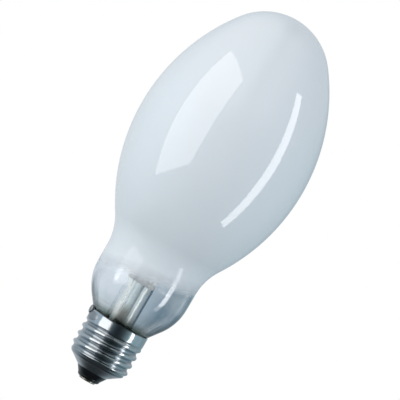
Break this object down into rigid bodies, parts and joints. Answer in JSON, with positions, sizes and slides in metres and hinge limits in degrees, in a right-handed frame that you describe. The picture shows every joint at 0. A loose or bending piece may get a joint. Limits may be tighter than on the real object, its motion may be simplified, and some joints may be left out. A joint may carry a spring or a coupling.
{
  "type": "high pressure sodium lamp",
  "caption": "Ellipsoidal discharge lamp with a white-coated bulb, a clear neck over a glass stem, a framed arc tube and an E27 screw cap.",
  "frame": {"origin": "centre of the flat end contact of the screw cap", "axes": "+Z along the lamp's axis from the cap to the dome, -X towards the side contact, whose solder lies 12 degrees past -X towards -Y"},
  "size_m": [0.075, 0.075, 0.1692],
  "materials": {
    "bulb_glass": "gloss glass, white coated inside above the neck",
    "plated_brass": "bright nickel plating",
    "black_glass": "gloss black insulating glass",
    "contact_brass": "plain brass",
    "solder": "dull tin solder",
    "cement": "matt basing cement",
    "copper": "drawn copper",
    "stem_glass": "clear glass",
    "lead_metal": "drawn nickel wire",
    "fibre_sleeve": "white glass-fibre sleeve",
    "frame_metal": "bright nickel-plated steel",
    "alumina": "translucent sintered alumina",
    "niobium": "drawn niobium",
    "tungsten": "tungsten",
    "frit_glass": "sealing frit",
    "amalgam": "sodium amalgam"
  },
  "bodies": {
    "root": {"outer_bulb": "bulb_glass", "screw_shell": "plated_brass", "insulator": "black_glass", "centre_contact": "contact_brass", "centre_solder": "solder", "side_solder": "solder", "basing_cement": "cement", "rim_wire": "copper", "stem": "stem_glass", "exhaust_tube": "stem_glass", "centre_lead": "lead_metal", "side_lead": "lead_metal", "lead_sleeve": "fibre_sleeve", "short_rod": "frame_metal", "frame_rod": "frame_metal", "lower_strap": "frame_metal", "upper_strap": "frame_metal", "arc_tube": "alumina", "lower_plug": "alumina", "upper_plug": "alumina", "lower_niobium_tube": "niobium", "upper_niobium_tube": "niobium", "lower_electrode": "tungsten", "upper_electrode": "tungsten", "lower_frit": "frit_glass", "upper_frit": "frit_glass", "amalgam": "amalgam", "getter_ring": "frame_metal", "getter_wire": "frame_metal"}
  },
  "joints": []
}
